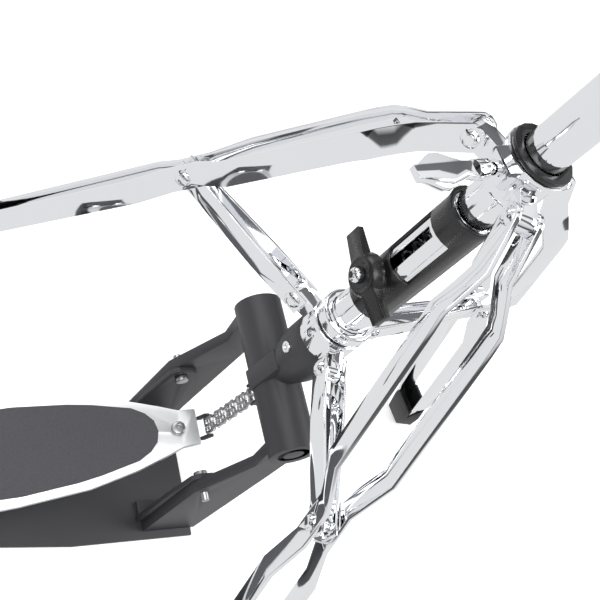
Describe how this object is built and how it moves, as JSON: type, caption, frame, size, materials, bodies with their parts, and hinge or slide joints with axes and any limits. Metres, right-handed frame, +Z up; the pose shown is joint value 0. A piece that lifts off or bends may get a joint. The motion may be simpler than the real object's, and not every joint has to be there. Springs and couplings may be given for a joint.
{
  "type": "hi-hat stand",
  "caption": "Pedal stand that lifts and closes a pair of cymbals, with a footboard, chain, sprung pull rod, folding legs and clutch",
  "frame": {"origin": "on the floor under the tube's axis", "axes": "+Z up along the tube, +X to the player's right, +Y away from the player"},
  "size_m": [0.4828, 0.5729, 1.02],
  "materials": {
    "base_grip": "matt",
    "base_plate": "satin black",
    "base_tube": "polished",
    "chain": "plain",
    "clamp_bush": "moulded black",
    "clutch_body": "polished",
    "clutch_felt": "felt",
    "clutch_nut": "polished",
    "clutch_wing_screw": "polished",
    "cup_felt": "felt",
    "cymbal_cup": "polished",
    "footboard": "fine blasted",
    "footboard_pad": "gritty",
    "gap_ring": "moulded black",
    "heel_pin": "plain",
    "heel_plate": "satin black",
    "height_clamp": "polished",
    "height_wing_screw": "polished",
    "hinge_bolt_left": "plain",
    "hinge_bolt_right": "plain",
    "hub": "polished",
    "hub_bush": "moulded black",
    "hub_wing_screw": "polished",
    "leg_a_collar_pin": "polished",
    "leg_a_foot": "matt",
    "leg_a_hub_pin": "polished",
    "leg_a_mid_pin": "polished",
    "leg_a_strap_left": "polished",
    "leg_a_strap_right": "polished",
    "leg_b_collar_pin": "polished",
    "leg_b_foot": "matt",
    "leg_b_hub_pin": "polished",
    "leg_b_mid_pin": "polished",
    "leg_b_strap_left": "polished",
    "leg_b_strap_right": "polished",
    "leg_c_collar_pin": "polished",
    "leg_c_foot": "matt",
    "leg_c_hub_pin": "polished",
    "leg_c_mid_pin": "polished",
    "leg_c_strap_left": "polished",
    "leg_c_strap_right": "polished",
    "leg_collar": "polished",
    "pull_rod": "plain",
    "return_spring": "plain",
    "rod_clevis": "satin black",
    "side_cheek_left": "satin black",
    "side_cheek_right": "satin black",
    "spring_housing": "polished",
    "stop_ring": "polished",
    "strut_a": "polished",
    "strut_b": "polished",
    "strut_c": "polished",
    "tension_knob": "moulded black",
    "tension_sleeve": "moulded black",
    "toe_clevis": "satin black",
    "toe_screw": "plain",
    "upper_tube": "polished",
    "yoke": "satin black",
    "yoke_screw": "polished"
  },
  "bodies": {
    "frame": {"base_grip": "base_grip", "base_plate": "base_plate", "heel_plate": "heel_plate", "heel_pin": "heel_pin", "side_cheek_left": "side_cheek_left", "side_cheek_right": "side_cheek_right", "yoke": "yoke", "yoke_screw": "yoke_screw", "hinge_bolt_left": "hinge_bolt_left", "hinge_bolt_right": "hinge_bolt_right", "spring_housing": "spring_housing", "base_tube": "base_tube", "stop_ring": "stop_ring", "gap_ring": "gap_ring", "height_clamp": "height_clamp", "clamp_bush": "clamp_bush"},
    "tripod": {"leg_collar": "leg_collar", "hub": "hub", "hub_bush": "hub_bush", "strut_a": "strut_a", "leg_a_strap_left": "leg_a_strap_left", "leg_a_strap_right": "leg_a_strap_right", "leg_a_foot": "leg_a_foot", "leg_a_hub_pin": "leg_a_hub_pin", "leg_a_mid_pin": "leg_a_mid_pin", "leg_a_collar_pin": "leg_a_collar_pin", "strut_b": "strut_b", "leg_b_strap_left": "leg_b_strap_left", "leg_b_strap_right": "leg_b_strap_right", "leg_b_foot": "leg_b_foot", "leg_b_hub_pin": "leg_b_hub_pin", "leg_b_mid_pin": "leg_b_mid_pin", "leg_b_collar_pin": "leg_b_collar_pin", "strut_c": "strut_c", "leg_c_strap_left": "leg_c_strap_left", "leg_c_strap_right": "leg_c_strap_right", "leg_c_foot": "leg_c_foot", "leg_c_hub_pin": "leg_c_hub_pin", "leg_c_mid_pin": "leg_c_mid_pin", "leg_c_collar_pin": "leg_c_collar_pin"},
    "hub_screw": {"hub_wing_screw": "hub_wing_screw"},
    "height_screw": {"height_wing_screw": "height_wing_screw"},
    "sleeve": {"tension_sleeve": "tension_sleeve"},
    "knob": {"tension_knob": "tension_knob"},
    "pedal": {"footboard": "footboard", "footboard_pad": "footboard_pad", "toe_screw": "toe_screw", "toe_clevis": "toe_clevis"},
    "rod": {"pull_rod": "pull_rod", "rod_clevis": "rod_clevis", "return_spring": "return_spring"},
    "chain": {"chain": "chain"},
    "upper": {"upper_tube": "upper_tube", "cymbal_cup": "cymbal_cup", "cup_felt": "cup_felt"},
    "clutch": {"clutch_body": "clutch_body", "clutch_felt": "clutch_felt", "clutch_nut": "clutch_nut"},
    "clutch_screw": {"clutch_wing_screw": "clutch_wing_screw"}
  },
  "joints": [
    {"name": "tripod_swivel", "type": "hinge", "parent": "frame", "child": "tripod", "pos_m": [0, 0, 0.256], "axis": [0, 0, 1], "range_deg": [-15, 15]},
    {"name": "hub_screw_turn", "type": "hinge", "parent": "tripod", "child": "hub_screw", "pos_m": [0.00263, -0.01355, 0.442], "axis": [0.1908, -0.9816, 0], "continuous": true},
    {"name": "height_screw_turn", "type": "hinge", "parent": "frame", "child": "height_screw", "pos_m": [0, -0.0135, 0.585], "axis": [0, -1, 0], "continuous": true},
    {"name": "tension_slide", "type": "slide", "parent": "frame", "child": "sleeve", "axis": [0, 0, 1], "range_m": [-0.0155, 0]},
    {"name": "tension_knob_turn", "type": "hinge", "parent": "sleeve", "child": "knob", "pos_m": [0, 0, 0.325], "axis": [0, -1, 0], "continuous": true},
    {"name": "pedal_press", "type": "hinge", "parent": "frame", "child": "pedal", "pos_m": [0, -0.252, 0.015], "axis": [1, 0, 0], "range_deg": [-13, 0], "stiffness_Nm_per_rad": 4, "springref_deg": 22.92},
    {"name": "rod_pull", "type": "slide", "parent": "frame", "child": "rod", "axis": [0, 0, 1], "range_m": [-0.0568, 0], "deforming": ["return_spring"]},
    {"name": "chain_swing", "type": "hinge", "parent": "rod", "child": "chain", "pos_m": [0, 0, 0.155], "axis": [1, 0, 0], "range_deg": [0, 10.6]},
    {"name": "height_slide", "type": "slide", "parent": "frame", "child": "upper", "axis": [0, 0, 1], "range_m": [-0.1, 0]},
    {"name": "clutch_slide", "type": "slide", "parent": "rod", "child": "clutch", "axis": [0, 0, 1], "range_m": [-0.005, 0.005]},
    {"name": "clutch_screw_turn", "type": "hinge", "parent": "clutch", "child": "clutch_screw", "pos_m": [0, -0.0038, 1.002], "axis": [0, -1, 0], "continuous": true}
  ],
  "couplings": [
    {"joint": "rod_pull", "follows": "pedal_press", "m_per_rad": 0.249},
    {"joint": "chain_swing", "follows": "pedal_press", "ratio": -0.8}
  ]
}
